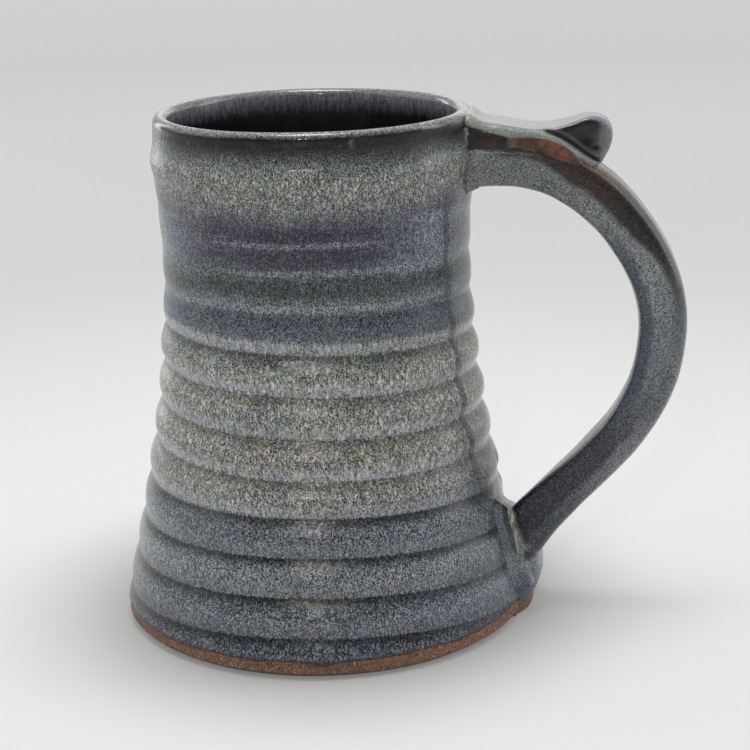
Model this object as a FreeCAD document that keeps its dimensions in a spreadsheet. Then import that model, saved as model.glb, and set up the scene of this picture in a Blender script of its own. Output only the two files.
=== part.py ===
# Handled stoneware stein: a wheel-thrown, waisted vessel with a pulled strap handle and a thumb rest.
# Frame: millimetres, +Z up. The origin is the centre of the flat underside of the foot.
# The vessel's axis is Z. The handle stands out along +X, and the part is symmetric about the XZ plane.
import FreeCAD, Part
import math
import os

import Sketcher

DRIVING_SIZES = {
    # vessel, outside of the glaze
    "body_height": 145.0,
    "waist_radius": 42.0,
    "flare_slope": 0.236,
    "flare_level": 71.5,
    "flare_blend": 20.2,
    # throwing rings below the waist, and the two faint ones on the neck
    "top_groove": 96.0,
    "ring_pitch": 11.2,
    "ring_rise": 1.25,
    "neck_rise": 0.35,
    "neck_radius": 42.9,
    "shoulder_radius": 43.5,
    # collar ridge and lip
    "collar_level": 132.8,
    "collar_radius": 44.45,
    "collar_half": 3.8,
    "collar_rise": 0.8,
    "lip_radius": 41.85,
    "lip_half": 2.1,
    # inside of the clay
    "cavity_neck_rise": 0.5,
    "cavity_wall_rise": 1.8,
    "cavity_heel_rise": 2.3,
    "cavity_waist_radius": 37.2,
    "cavity_waist_level": 92.0,
    "cavity_heel_radius": 49.0,
    "cavity_heel_level": 17.5,
    "floor_radius": 42.5,
    "floor_thickness": 9.5,
    # foot and glaze
    "foot_bevel": 1.6,
    "glaze": 0.5,
    "glaze_edge": 4.8,
    # pulled strap
    "strap_width": 20.6,
    "strap_thickness": 12.0,
    "strap_corner": 3.2,
    "strap_start": 40.0,
    "strap_level": 130.5,
    "strap_shoulder": 54.0,
    "strap_upper_radius": 43.5,
    "strap_lower_radius": 60.0,
    "strap_end_reach": 54.2,
    "strap_end_level": 17.6,
    # thumb rest
    "rest_width": 19.8,
    "rest_nose_width": 12.6,
    "rest_root_level": 142.4,
    "rest_dip_reach": 63.0,
    "rest_dip_level": 140.0,
    "rest_crown_reach": 77.0,
    "rest_crown_level": 142.8,
    "rest_nose_reach": 82.4,
    "rest_nose_level": 137.9,
    "rest_curl_reach": 78.8,
    "rest_curl_level": 129.6,
    "rest_curl_root": 5.0,
    "rest_curl_rise": 1.0,
    "rest_nose_rise": 1.5,
    "rest_climb_sag": 0.8,
    "rest_dip_sag": 0.3,
    "rest_taper_start": 57.0,
    # clay joints
    "coil_growth": 1.7,
    "coil_depth": 2.4,
    "tail_reach": 64.8,
    "tail_lean": 0.5,
    "tail_heel": 3.4,
    "tail_nose": 7.8,
    "tail_toe_rise": 0.5,
    "tail_width": 25.0,
    "tail_top": 19.6,
    "tail_bottom": 2.6,
}

RING_COUNT = 9
TOP, FRONT, SIDE = "XY_Plane", "XZ_Plane", "YZ_Plane"
QUARTER_TURN_SAG = 1.0 - math.cos(math.pi / 4)

doc = FreeCAD.newDocument("stein")
sheet = doc.addObject("Spreadsheet::Sheet", "Sizes")
for row, (alias, size) in enumerate(DRIVING_SIZES.items(), start=1):
    sheet.set(f"A{row}", alias.replace("_", " "))
    sheet.set(f"B{row}", str(size))
    sheet.setAlias(f"B{row}", alias)
doc.recompute()


def sized(text):
    """An expression with each size's alias written as a cell of the sheet."""
    words = sorted(DRIVING_SIZES, key=len, reverse=True)
    for number, word in enumerate(words):
        text = text.replace(word, f"@{number}@")
    for number, word in enumerate(words):
        text = text.replace(f"@{number}@", f"Sizes.{word}")
    return text


def number(text):
    """The present value of an expression in the sheet's sizes."""
    return float(sheet.evalExpression(sized(text)))


# ---- sketches -------------------------------------------------------------------------------------


def origin_plane(body, role):
    return next(plane for plane in body.Origin.OriginFeatures if plane.Role == role)


def new_body(name):
    return doc.addObject("PartDesign::Body", name)


def new_sketch(body, name, role):
    sketch = body.newObject("Sketcher::SketchObject", name)
    sketch.AttachmentSupport = [(origin_plane(body, role), "")]
    sketch.MapMode = "FlatFace"
    return sketch


def bind(sketch, constraint, expression):
    """Adds a dimension and ties it to its expression."""
    index = sketch.addConstraint(constraint)
    name = f"size_{index}"
    sketch.renameConstraint(index, name)
    sketch.setExpression(f"Constraints.{name}", sized(expression))


def place_point(sketch, side, end, x, y):
    """Puts one end of a side at (x, y), both of them expressions."""
    for kind, axis, expression in (("DistanceX", -2, x), ("DistanceY", -1, y)):
        value = number(expression)
        if value == 0.0:
            sketch.addConstraint(Sketcher.Constraint("PointOnObject", side, end, axis))
        else:
            bind(sketch, Sketcher.Constraint(kind, -1, 1, side, end, value), expression)


def outline(sketch, corners):
    """A closed outline. A corner is (x, y, rise), all expressions: rise is how far the side that
    leaves the corner bows to the right of its direction, and None where that side is straight."""
    points = [FreeCAD.Vector(number(x), number(y), 0) for x, y, _ in corners]
    ends = []
    for index, (x, y, rise) in enumerate(corners):
        start = points[index]
        finish = points[(index + 1) % len(points)]
        if rise is None:
            side = sketch.addGeometry(Part.LineSegment(start, finish))
            ends.append((side, 1, 2))
            continue
        bow = number(rise)
        along = (finish - start).normalize()
        middle = (start + finish) * 0.5 + FreeCAD.Vector(along.y, -along.x, 0) * bow
        if bow > 0:
            side = sketch.addGeometry(Part.Arc(start, middle, finish))
            ends.append((side, 1, 2))
        else:
            side = sketch.addGeometry(Part.Arc(finish, middle, start))
            ends.append((side, 2, 1))
    for index, (x, y, rise) in enumerate(corners):
        side, first, last = ends[index]
        following = ends[(index + 1) % len(ends)]
        sketch.addConstraint(Sketcher.Constraint("Coincident", side, last, following[0], following[1]))
        place_point(sketch, side, first, x, y)
    for index, (x, y, rise) in enumerate(corners):
        if rise is None:
            continue
        next_x, next_y, _ = corners[(index + 1) % len(corners)]
        chord_squared = f"((({next_x}) - ({x}))^2 + (({next_y}) - ({y}))^2)"
        radius = f"{chord_squared} / (8 * abs({rise})) + abs({rise}) / 2"
        bind(sketch, Sketcher.Constraint("Radius", ends[index][0], number(radius)), radius)


def revolved(name, corners):
    """A body turned about Z from an outline in the XZ plane."""
    body = new_body(name)
    sketch = new_sketch(body, name + "_outline", FRONT)
    outline(sketch, corners)
    turn = body.newObject("PartDesign::Revolution", name + "_turned")
    turn.Profile = sketch
    turn.ReferenceAxis = (sketch, ["V_Axis"])
    turn.Angle = 360.0
    return body


def padded(name, role, corners, length, midplane=False):
    """A body padded from an outline on one of its origin planes."""
    body = new_body(name)
    sketch = new_sketch(body, name + "_outline", role)
    outline(sketch, corners)
    pad = body.newObject("PartDesign::Pad", name + "_pad")
    pad.Profile = sketch
    pad.Midplane = midplane
    pad.setExpression("Length", sized(length))
    return body


def rounded_rectangle(width, depth, corner):
    """Corners of an upright rectangle about the sketch's origin, its corners rounded."""
    sag = f"({corner}) * {QUARTER_TURN_SAG}"
    x, y = f"({width}) / 2", f"({depth}) / 2"
    x_in, y_in = f"({x} - ({corner}))", f"({y} - ({corner}))"
    return [
        (f"-{x_in}", f"-({y})", None),
        (x_in, f"-({y})", sag),
        (x, f"-{y_in}", None),
        (x, y_in, sag),
        (x_in, y, None),
        (f"-{x_in}", y, sag),
        (f"-({x})", y_in, None),
        (f"-({x})", f"-{y_in}", sag),
    ]


# ---- booleans -------------------------------------------------------------------------------------


def cut(name, base, *tools):
    """base without each of the tools in turn."""
    for index, tool in enumerate(tools, start=1):
        result = doc.addObject("Part::Cut", f"{name}_{index}")
        result.Base = base
        result.Tool = tool
        base = result
    return base


def fused(name, shapes):
    result = doc.addObject("Part::MultiFuse", name)
    result.Shapes = shapes
    return result


def shared(name, shapes):
    result = doc.addObject("Part::MultiCommon", name)
    result.Shapes = shapes
    return result


# ---- vessel ---------------------------------------------------------------------------------------


def groove_level(index):
    return f"(top_groove - {index} * ring_pitch)"


def groove_radius(level):
    """The vessel flares below its waist: a straight cone that blends into the neck."""
    below = f"(flare_level - {level})"
    return f"waist_radius + flare_slope / 2 * ({below} + sqrt({below}^2 + flare_blend^2))"


def outer_side(depth):
    """The vessel's outside from the glaze's lower edge up to the lip's crown, depth inside the glaze."""
    corners = [(f"{groove_radius('glaze_edge')} - {depth}", "glaze_edge", None)]
    for index in range(RING_COUNT - 1, -1, -1):
        level = groove_level(index)
        rise = "ring_rise" if index else "neck_rise"
        corners.append((f"{groove_radius(level)} - {depth}", level, rise))
    collar_low, collar_high = "collar_level - collar_half", "collar_level + collar_half"
    corners += [
        (f"neck_radius - {depth}", "top_groove + ring_pitch", "neck_rise"),
        (f"shoulder_radius - {depth}", "top_groove + 2 * ring_pitch", None),
        (f"collar_radius - {depth}", collar_low, "collar_rise"),
        (f"collar_radius - {depth}", collar_high, None),
        (f"lip_radius + lip_half - {depth}", "body_height - lip_half", lip_sag(depth)),
        ("lip_radius", f"body_height - {depth}", None),
    ]
    return corners


def lip_sag(depth):
    return f"(lip_half - {depth}) * {QUARTER_TURN_SAG}"


def inner_side(cover):
    """The vessel's inside from the lip's crown down to the middle of the floor, with cover over the
    clay. The lip's own glaze is taken off the radius of its rounding."""
    depth = f"(glaze - {cover})"
    return [
        ("lip_radius", f"body_height - {depth}", lip_sag(depth)),
        (f"lip_radius - lip_half + {depth}", "body_height - lip_half", "cavity_neck_rise"),
        (f"cavity_waist_radius - {cover}", "cavity_waist_level", "cavity_wall_rise"),
        (f"cavity_heel_radius - {cover}", "cavity_heel_level", "-cavity_heel_rise"),
        ("floor_radius", f"floor_thickness + {cover}", None),
        ("0", f"floor_thickness + {cover}", None),
    ]


def flip(rise):
    return None if rise is None else f"-({rise})"


def reverse_side(corners):
    """The same line travelled the other way: its bows change hands."""
    backwards = []
    for index in range(len(corners) - 1, -1, -1):
        rise = corners[index - 1][2] if index else None
        backwards.append((corners[index][0], corners[index][1], flip(rise)))
    return backwards


def foot_corners():
    """Flat underside, its bevel and the bare clay band up to the glaze."""
    rim = groove_radius("foot_bevel")
    return [
        ("0", "0", None),
        (f"{rim} - foot_bevel", "0", None),
        (rim, "foot_bevel", None),
        (f"{groove_radius('glaze_edge')} - 0.1", "glaze_edge", None),
    ]


clay_blank = revolved("clay_blank", foot_corners() + outer_side("glaze")
                      + [("0", "body_height - glaze", None)])
clay_wall = revolved("clay_wall", foot_corners() + outer_side("glaze")[:-1] + inner_side("0"))
glaze_ring = revolved("glaze_ring", outer_side("0") + reverse_side(outer_side("glaze")))
liner_ring = revolved("liner_ring", inner_side("glaze") + reverse_side(inner_side("0")))

# ---- handle, thumb rest and clay joints -----------------------------------------------------------


def strap_line():
    """The strap's centreline in the XZ plane, as its root, shoulder, belly, the point where the lower
    arc ends, its end, and that arc's centre and the angle at which it ends."""
    root = FreeCAD.Vector(number("strap_start"), number("strap_level"), 0)
    shoulder = FreeCAD.Vector(number("strap_shoulder"), number("strap_level"), 0)
    end = FreeCAD.Vector(number("strap_end_reach"), number("strap_end_level"), 0)
    upper_radius, lower_radius = number("strap_upper_radius"), number("strap_lower_radius")
    belly = shoulder + FreeCAD.Vector(upper_radius, -upper_radius, 0)
    centre = belly - FreeCAD.Vector(lower_radius, 0, 0)
    to_end = end - centre
    leave = math.atan2(to_end.y, to_end.x) + math.acos(lower_radius / to_end.Length)
    leaving = centre + FreeCAD.Vector(math.cos(leave), math.sin(leave), 0) * lower_radius
    return root, shoulder, belly, leaving, end, centre, leave


def strap(name, inset):
    """The pulled strap: one rounded section swept along two arcs and two straights."""
    body = new_body(name)
    spine = new_sketch(body, name + "_spine", FRONT)
    start, shoulder, belly, leaving, end, lower_centre, leave = strap_line()
    upper_centre = FreeCAD.Vector(shoulder.x, belly.y, 0)
    upper_radius, lower_radius = belly.x - shoulder.x, belly.x - lower_centre.x
    axis = FreeCAD.Vector(0, 0, 1)
    upper_circle = Part.Circle(upper_centre, axis, upper_radius)
    lower_circle = Part.Circle(lower_centre, axis, lower_radius)
    root = spine.addGeometry(Part.LineSegment(start, shoulder))
    upper = spine.addGeometry(Part.ArcOfCircle(upper_circle, 0.0, math.pi / 2))
    lower = spine.addGeometry(Part.ArcOfCircle(lower_circle, leave, 0.0))
    tail = spine.addGeometry(Part.LineSegment(leaving, end))
    place_point(spine, root, 1, "strap_start", "strap_level")
    spine.addConstraint(Sketcher.Constraint("Horizontal", root))
    bind(spine, Sketcher.Constraint("DistanceX", -1, 1, root, 2, shoulder.x), "strap_shoulder")
    spine.addConstraint(Sketcher.Constraint("Tangent", root, 2, upper, 2))
    spine.addConstraint(Sketcher.Constraint("Tangent", upper, 1, lower, 2))
    spine.addConstraint(Sketcher.Constraint("Tangent", lower, 1, tail, 1))
    bind(spine, Sketcher.Constraint("Radius", upper, upper_radius), "strap_upper_radius")
    bind(spine, Sketcher.Constraint("Radius", lower, lower_radius), "strap_lower_radius")
    spine.addConstraint(Sketcher.Constraint("Horizontal", upper, 3, upper, 1))
    place_point(spine, tail, 2, "strap_end_reach", "strap_end_level")
    section = root_sketch(body, name + "_section")
    outline(section, strap_section(inset))
    doc.recompute()
    sweep = body.newObject("PartDesign::AdditivePipe", name + "_sweep")
    sweep.Profile = section
    sweep.Spine = spine
    return body


def root_sketch(body, name):
    """A sketch square to the strap, centred on the start of its line."""
    sketch = new_sketch(body, name, SIDE)
    sketch.setExpression("AttachmentOffset.Base.y", sized("strap_level"))
    sketch.setExpression("AttachmentOffset.Base.z", sized("strap_start"))
    return sketch


def strap_section(inset):
    return rounded_rectangle(f"strap_width - 2 * {inset}", f"strap_thickness - 2 * {inset}",
                             f"strap_corner - {inset}")


def thumb_rest(name, inset):
    """A strip that leaves the rim along the top of the strap, dips and ends in a rolled-under curl."""
    side_view = padded(name + "_side", FRONT, [
        ("waist_radius", "strap_level", None),
        ("strap_shoulder", "strap_level", None),
        ("rest_curl_reach - rest_curl_root", "rest_curl_level - rest_curl_root", None),
        (f"rest_curl_reach - {inset}", "rest_curl_level", "rest_curl_rise"),
        (f"rest_nose_reach - {inset}", "rest_nose_level", "rest_nose_rise"),
        ("rest_crown_reach", f"rest_crown_level - {inset}", "-rest_climb_sag"),
        ("rest_dip_reach", f"rest_dip_level - {inset}", "-rest_dip_sag"),
        ("waist_radius", f"rest_root_level - {inset}", None),
    ], "rest_width + 2", midplane=True)
    half, nose = f"(rest_width / 2 - {inset})", f"(rest_nose_width / 2 - {inset})"
    plan_view = padded(name + "_plan", TOP, [
        ("strap_start", f"-{half}", None),
        ("rest_taper_start", f"-{half}", None),
        ("rest_nose_reach + rest_nose_rise", f"-{nose}", None),
        ("rest_nose_reach + rest_nose_rise", nose, None),
        ("rest_taper_start", half, None),
        ("strap_start", half, None),
    ], "body_height + 10")
    return shared(name, [side_view, plan_view])


def joint_cone(name, inset):
    """A skin of clay around the vessel, as deep as a joint's coil, that the coils are trimmed to."""
    cone = doc.addObject("Part::Cone", name)
    cone.setExpression("Radius1", sized(f"{groove_radius('0')} + coil_depth - {inset}"))
    cone.setExpression("Radius2", sized(f"{groove_radius('body_height / 3')} + coil_depth - {inset}"))
    cone.setExpression("Height", sized("body_height / 3"))
    return cone


def joint_neck(name, inset):
    """The same around the neck, where the strap leaves the vessel."""
    neck = doc.addObject("Part::Cylinder", name)
    neck.setExpression("Radius", sized(f"collar_radius + coil_depth - {inset}"))
    neck.setExpression("Height", sized(f"collar_level - {inset}"))
    return neck


def coil_section(inset):
    grown = f"(coil_growth - {inset})"
    return rounded_rectangle(f"strap_width + 2 * {grown}", f"strap_thickness + 2 * {grown}",
                             f"strap_corner + {grown}")


def upper_coil(name, inset):
    """A collar round the strap's root, trimmed to follow the neck."""
    collar = new_body(name + "_collar")
    section = root_sketch(collar, name + "_section")
    outline(section, coil_section(inset))
    pad = collar.newObject("PartDesign::Pad", name + "_pad")
    pad.Profile = section
    pad.setExpression("Length", sized("strap_shoulder - strap_start"))
    return shared(name, [collar, joint_neck(name + "_neck", inset)])


def lower_coil(name, inset):
    """A collar square to the strap's straight lower end, trimmed to follow the vessel's wall."""
    across_first = [(f"({y})", f"({x})", flip(rise)) for x, y, rise in coil_section(inset)]
    collar = padded(name + "_collar", TOP, across_first, "strap_shoulder / 2")
    _, _, _, _, end, _, leave = strap_line()
    up_the_strap = FreeCAD.Vector(-math.sin(leave), 0, math.cos(leave))
    start = FreeCAD.Vector(end.x, 0, end.y) - up_the_strap * number("coil_depth")
    collar.Placement = FreeCAD.Placement(
        start, FreeCAD.Rotation(FreeCAD.Vector(0, 0, 1), up_the_strap))
    return shared(name, [collar, joint_cone(name + "_cone", inset)])


def tail_pad(name, inset):
    """The strap's tail, pressed down onto the wall below the joint as a rounded lump."""
    side_view = padded(name + "_side", FRONT, [
        ("floor_radius", f"tail_bottom + {inset}", None),
        (f"tail_reach - tail_lean - tail_heel - {inset}", f"tail_bottom + {inset}", None),
        (f"tail_reach - tail_lean - {inset}", "tail_bottom + tail_heel", "tail_toe_rise"),
        (f"tail_reach - tail_lean - {inset}", f"tail_top - {inset}", None),
        ("floor_radius", f"tail_top - {inset}", None),
    ], "tail_width + 2", midplane=True)
    half = f"(tail_width / 2 - {inset})"
    plan_view = padded(name + "_plan", TOP, [
        ("floor_radius", f"-{half}", None),
        ("tail_reach - tail_nose", f"-{half}", f"tail_nose - {inset}"),
        ("tail_reach - tail_nose", half, None),
        ("floor_radius", half, None),
    ], "tail_top + 10")
    return shared(name, [side_view, plan_view])


strap_coat, strap_core = strap("strap_coat", "0"), strap("strap_core", "glaze")
rest_coat, rest_core = thumb_rest("rest_coat", "0"), thumb_rest("rest_core", "glaze")
upper_coat, upper_core = upper_coil("upper_coat", "0"), upper_coil("upper_core", "glaze")
lower_coat, lower_core = lower_coil("lower_coat", "0"), lower_coil("lower_core", "glaze")
tail_coat, tail_core = tail_pad("tail_coat", "0"), tail_pad("tail_core", "glaze")
doc.recompute()
handle_coat = fused("handle_coat", [strap_coat, rest_coat, upper_coat, lower_coat, tail_coat])
handle_clay = fused("handle_clay", [strap_core, rest_core, upper_core, lower_core, tail_core])

# ---- sub-parts ------------------------------------------------------------------------------------

NODES = {
    "thrown_body": clay_wall,
    "outer_glaze": cut("outer_glaze", glaze_ring, handle_coat),
    "liner_glaze": liner_ring,
    "handle_strap": cut("handle_strap", strap_core, clay_blank),
    "thumb_rest": cut("thumb_rest", rest_core, clay_blank, strap_core),
    "upper_joint_coil": cut("upper_joint_coil", upper_core, clay_blank, strap_core, rest_core),
    "lower_joint_coil": cut("lower_joint_coil", lower_core, clay_blank, strap_core),
    "tail_pad": cut("tail_pad", tail_core, clay_blank, strap_core, lower_core),
    "handle_glaze": cut("handle_glaze", handle_coat, clay_blank, handle_clay),
}
doc.recompute()

for node, piece in NODES.items():
    piece.Label = node
for item in doc.Objects:
    faults = {"Invalid", "Error"} & set(item.State)
    if faults:
        raise RuntimeError(f"{item.Label} failed: {item.State}")
os.makedirs("parts", exist_ok=True)
for node, piece in NODES.items():
    if piece.Shape.isNull() or not piece.Shape.isValid():
        raise RuntimeError(f"{node} has no valid shape")
    box = piece.Shape.optimalBoundingBox(False)
    print(f"{node}: {len(piece.Shape.Solids)} solid(s), {piece.Shape.Volume / 1000:.2f} ml, "
          f"x {box.XMin:.1f}..{box.XMax:.1f}, y {box.YMin:.1f}..{box.YMax:.1f}, "
          f"z {box.ZMin:.1f}..{box.ZMax:.1f}")
    piece.Shape.exportStep(f"parts/{node}.step")
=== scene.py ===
"""The looks of a wheel-thrown stoneware stein: its clay, glaze, pulled strap, thumb rest and clay joints.

Lengths are millimetres while shapes are worked out, and metres once they are meshes.
The vessel's axis is Z, the foot stands on Z = 0 and the handle stands out along +X."""
import math

import bpy
import numpy as np
from mathutils import Matrix, Vector


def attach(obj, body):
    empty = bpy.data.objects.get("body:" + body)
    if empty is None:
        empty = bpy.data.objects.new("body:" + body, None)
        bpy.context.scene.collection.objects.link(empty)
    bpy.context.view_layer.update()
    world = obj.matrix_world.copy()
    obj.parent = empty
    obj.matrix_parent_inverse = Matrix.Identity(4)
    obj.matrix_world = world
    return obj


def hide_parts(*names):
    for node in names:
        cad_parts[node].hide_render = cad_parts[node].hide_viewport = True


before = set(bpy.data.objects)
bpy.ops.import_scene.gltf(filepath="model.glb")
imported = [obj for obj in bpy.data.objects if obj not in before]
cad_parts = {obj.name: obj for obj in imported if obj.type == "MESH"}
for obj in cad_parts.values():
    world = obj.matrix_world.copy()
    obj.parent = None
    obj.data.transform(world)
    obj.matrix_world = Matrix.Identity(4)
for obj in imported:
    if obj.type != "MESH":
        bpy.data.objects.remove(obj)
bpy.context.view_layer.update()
MM = 0.001
TAU = 2 * math.pi


# ---- camera ----

CAMERA_PLACE = (0.071371, -0.507834, 0.219281)
CAMERA_FORWARD = (-0.104409, 0.953245, -0.283587)
CAMERA_RIGHT = (0.994516, 0.101771, -0.024066)
FOCAL_LENGTH = 89.08
SENSOR_WIDTH = 36.0


def add_camera():
    data = bpy.data.cameras.new("camera")
    data.sensor_width = SENSOR_WIDTH
    data.lens = FOCAL_LENGTH
    data.clip_start = 0.01
    camera = bpy.data.objects.new("camera", data)
    bpy.context.scene.collection.objects.link(camera)
    forward = Vector(CAMERA_FORWARD).normalized()
    right = Vector(CAMERA_RIGHT)
    right = (right - forward * right.dot(forward)).normalized()
    up = right.cross(forward)
    turn = Matrix((right, up, -forward)).transposed()
    camera.matrix_world = Matrix.Translation(CAMERA_PLACE) @ turn.to_4x4()
    bpy.context.scene.camera = camera


add_camera()


# ---- working out shapes ----

def line_through(knots):
    """A smooth line through (x, y) knots that never overshoots them."""
    xs, ys = np.array(knots, float).T
    steps = np.diff(xs)
    rises = np.diff(ys) / steps
    slopes = np.zeros(len(xs))
    slopes[0], slopes[-1] = rises[0], rises[-1]
    for i in range(1, len(xs) - 1):
        if rises[i - 1] * rises[i] > 0:
            before, after = 2 * steps[i] + steps[i - 1], steps[i] + 2 * steps[i - 1]
            slopes[i] = (before + after) / (before / rises[i - 1] + after / rises[i])

    def value(x):
        x = np.clip(x, xs[0], xs[-1])
        i = np.clip(np.searchsorted(xs, x, side="right") - 1, 0, len(steps) - 1)
        h = steps[i]
        t = (x - xs[i]) / h
        start = ys[i] * (1 + 2 * t) * (1 - t) ** 2 + h * slopes[i] * t * (1 - t) ** 2
        end = ys[i + 1] * t * t * (3 - 2 * t) + h * slopes[i + 1] * t * t * (t - 1)
        return start + end

    return value


def smooth(low, high, x):
    t = np.clip((x - low) / (high - low), 0, 1)
    return t * t * (3 - 2 * t)


def bell(x, width):
    return np.exp(-(x / width) ** 2)


def grain(seed, size, x, y, z):
    """Smooth seeded noise from -1 to 1, with lumps of about the given size."""
    points = np.stack(np.broadcast_arrays(x, y, z), -1) / size + 1000.0
    cell = np.floor(points).astype(np.int64)
    part = points - cell
    part = part * part * (3 - 2 * part)
    total = 0.0
    for corner in np.ndindex(2, 2, 2):
        at = cell + np.array(corner)
        mixed = at[..., 0] * 374761393 + at[..., 1] * 668265263 + at[..., 2] * 2147483647 + seed * 144665
        mixed = (mixed ^ (mixed >> 13)) * 1274126177
        mixed = (mixed ^ (mixed >> 16)) & 0xFFFF
        share = np.prod(np.where(np.array(corner), part, 1 - part), axis=-1)
        total = total + share * mixed
    return total / 0x8000 - 1.0


# ---- the vessel's surface ----

WAIST_LEVEL = 71.5
WAIST_RADIUS = 42
WAIST_BEND = math.sqrt(408)
CONE_SLOPE = 0.118
CONE_TOP, NECK_BASE = 86, 92
RING_PITCH = 11.2
TOP_GROOVE = 98.5
SEAM_TURN = 188.0 / 360.0
LIP_HALF = 2.1
LIP_TOP = 145.0
LIP_BASE = LIP_TOP - LIP_HALF
SEAM_LEVEL = 140.6
GLAZE = 0.5
NOISE_RADIUS = 50

neck_line = line_through([(84, 43.58), (90, 43.1), (96, 42.86), (101, 42.84), (107.2, 42.95), (113, 43.2),
                          (118.4, 43.5), (124, 43.9), (128, 44.35), (130.6, 45.0), (132.5, 45.25),
                          (134.4, 44.95), (136.6, 44.45), (139.5, 44.15), (142.9, 43.95)])
ring_shape = line_through([(0, 0), (0.05, 0.08), (0.25, 0.60), (0.5, 1), (0.68, 0.90), (0.86, 0.38),
                           (0.95, 0.10), (1, 0)])
ring_growth = line_through([(4, 0.1), (8, 0.6), (20, 0.85), (33, 1.0), (45, 1.3), (60, 1.55), (80, 1.55),
                            (91, 0.95), (103, 0.5), (112, 0.25), (125, 0.2), (130, 0)])


def base_radius(z):
    """The wall without its rings: a cone that bends into the neck's line."""
    below = WAIST_LEVEL - z
    cone = WAIST_RADIUS + CONE_SLOPE * (below + np.sqrt(below ** 2 + WAIST_BEND ** 2))
    neck = neck_line(z)
    blend = cone + (neck - cone) * smooth(CONE_TOP, NECK_BASE, z)
    return np.where(z < CONE_TOP, cone, np.where(z < NECK_BASE, blend, neck))


def noise_place(theta):
    """Where noise is looked up for a bearing, so that it joins up round the vessel."""
    return np.cos(theta) * NOISE_RADIUS, np.sin(theta) * NOISE_RADIUS


def ring_phase(theta, z):
    """How many rings down from the top groove a point lies. The grooves are one falling spiral."""
    turn = np.mod(theta / TAU - SEAM_TURN, 1.0)
    swing = 0.575 * (1 - np.cos(TAU * turn)) + 0.6 * np.sin(TAU * turn)
    low = np.clip((52 - z) / 44, 0, 1) ** 0.6 * 4 * np.sin(TAU * turn) ** 2
    return (TOP_GROOVE - RING_PITCH * turn + swing + low - z) / RING_PITCH


FAR = 999.0


def handle_smear(theta, z):
    """1 where the potter's fingers smoothed the rings away round the strap's lower joint."""
    side = np.where(np.cos(theta) > 0, base_radius(z) * np.sin(theta), FAR)
    reach = np.where(side < 0, -side * 0.85, side * 1.5) + np.clip(z - 31, 0, None) * 1.1
    reach = reach + np.clip(13 - z, 0, None) * 0.8
    wander = 1.6 * grain(3, 6, *noise_place(theta), z)
    return 1 - smooth(12.5, 17.5, reach + wander)


def wall_radius(theta, z):
    """The outside of the glaze."""
    x, y = noise_place(theta)
    phase = ring_phase(theta, z)
    uneven = 1 + 0.16 * grain(1, 22, x, y, z * 2)
    rings = ring_growth(z) * uneven * ring_shape(np.mod(phase, 1.0))
    rings = rings * (1 - 0.8 * handle_smear(theta, z))
    wobble = 0.16 * grain(5, 45, x, y, z) * smooth(0, 20, z)
    finger = 0.07 * grain(7, 3.2, x * 0.08, y * 0.08, z) * smooth(4, 12, z) * (1 - smooth(120, 130, z))
    return base_radius(z) + rings + wobble + finger


# ---- meshes ----

def add_piece(name, verts, faces, nodes, material, values=None, caps=()):
    """A mesh from millimetre points, riding on the frame. The faces numbered in caps are shaded flat."""
    data = bpy.data.meshes.new(name)
    data.from_pydata((np.asarray(verts, float) * MM).tolist(), [], faces)
    for key, numbers in (values or {}).items():
        layer = data.attributes.new(key, "FLOAT", "POINT")
        layer.data.foreach_set("value", np.asarray(numbers, np.float32).ravel())
    rounded = np.ones(len(data.polygons), bool)
    rounded[list(caps)] = False
    data.polygons.foreach_set("use_smooth", rounded)
    data.materials.append(material)
    piece = bpy.data.objects.new(name, data)
    bpy.context.scene.collection.objects.link(piece)
    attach(piece, "root")
    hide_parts(*nodes)


def ring_faces(rows, columns, start=0, flip=False):
    """Quads of a tube of rows by columns that closes on itself."""
    faces = []
    for i in range(rows - 1):
        for j in range(columns):
            a = start + i * columns + j
            b = start + i * columns + (j + 1) % columns
            quad = (a, b, b + columns, a + columns)
            faces.append(quad[::-1] if flip else quad)
    return faces


def bridge(outer, count, inner, inner_count, flip=False):
    """Faces between the loops that start at outer and inner. inner_count divides count."""
    ratio = count // inner_count
    faces = []
    for k in range(inner_count):
        face = [outer + (k * ratio + i) % count for i in range(ratio + 1)]
        face += [inner + (k + 1) % inner_count, inner + k]
        faces.append(face[::-1] if flip else face)
    return faces


def fan(first, columns, centre, flip=False):
    """Triangles from a loop of points to the point at its centre."""
    faces = [(first + j, first + (j + 1) % columns, centre) for j in range(columns)]
    return [face[::-1] for face in faces] if flip else faces


def turned(radius, z, theta):
    return np.stack([radius * np.cos(theta), radius * np.sin(theta), np.broadcast_to(z, theta.shape)], -1)


def circle(count):
    return np.arange(count) / count * TAU


# ---- vessel pieces ----

# Bearing in degrees, how far down the glaze runs, and how wide the run is in degrees.
GLAZE_RUNS = [(-84.0, 1.25, 3.2), (-101.0, 0.5, 2.0), (32.0, 0.9, 2.8), (118.0, 1.1, 3.0), (205.0, 0.7, 2.4)]


def turn_from(theta, bearing):
    """The angle from a bearing in degrees, in radians within half a turn."""
    return np.angle(np.exp(1j * (theta - math.radians(bearing))))


def glaze_edge(theta):
    """Height of the glaze's lower edge, which wanders and runs in a few places."""
    x, y = noise_place(theta)
    edge = 4.7 + 0.45 * grain(11, 16, x, y, 0) + 0.2 * grain(12, 4, x, y, 0)
    edge = edge - 0.9 * bell(turn_from(theta, 205), 0.55)
    for bearing, depth, width in GLAZE_RUNS:
        edge = edge - depth * bell(np.degrees(turn_from(theta, bearing)), width)
    return edge


inside_line = line_through([(9.0, 41.5), (10.0, 43.6), (12.0, 46.6), (14.5, 48.1), (17.5, 48.5), (30, 46.6),
                            (45, 43.9), (60, 41.0), (75, 38.4), (92, 36.75), (110, 37.15), (128, 38.3),
                            (136, 39.0), (142.9, 39.75)])


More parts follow.
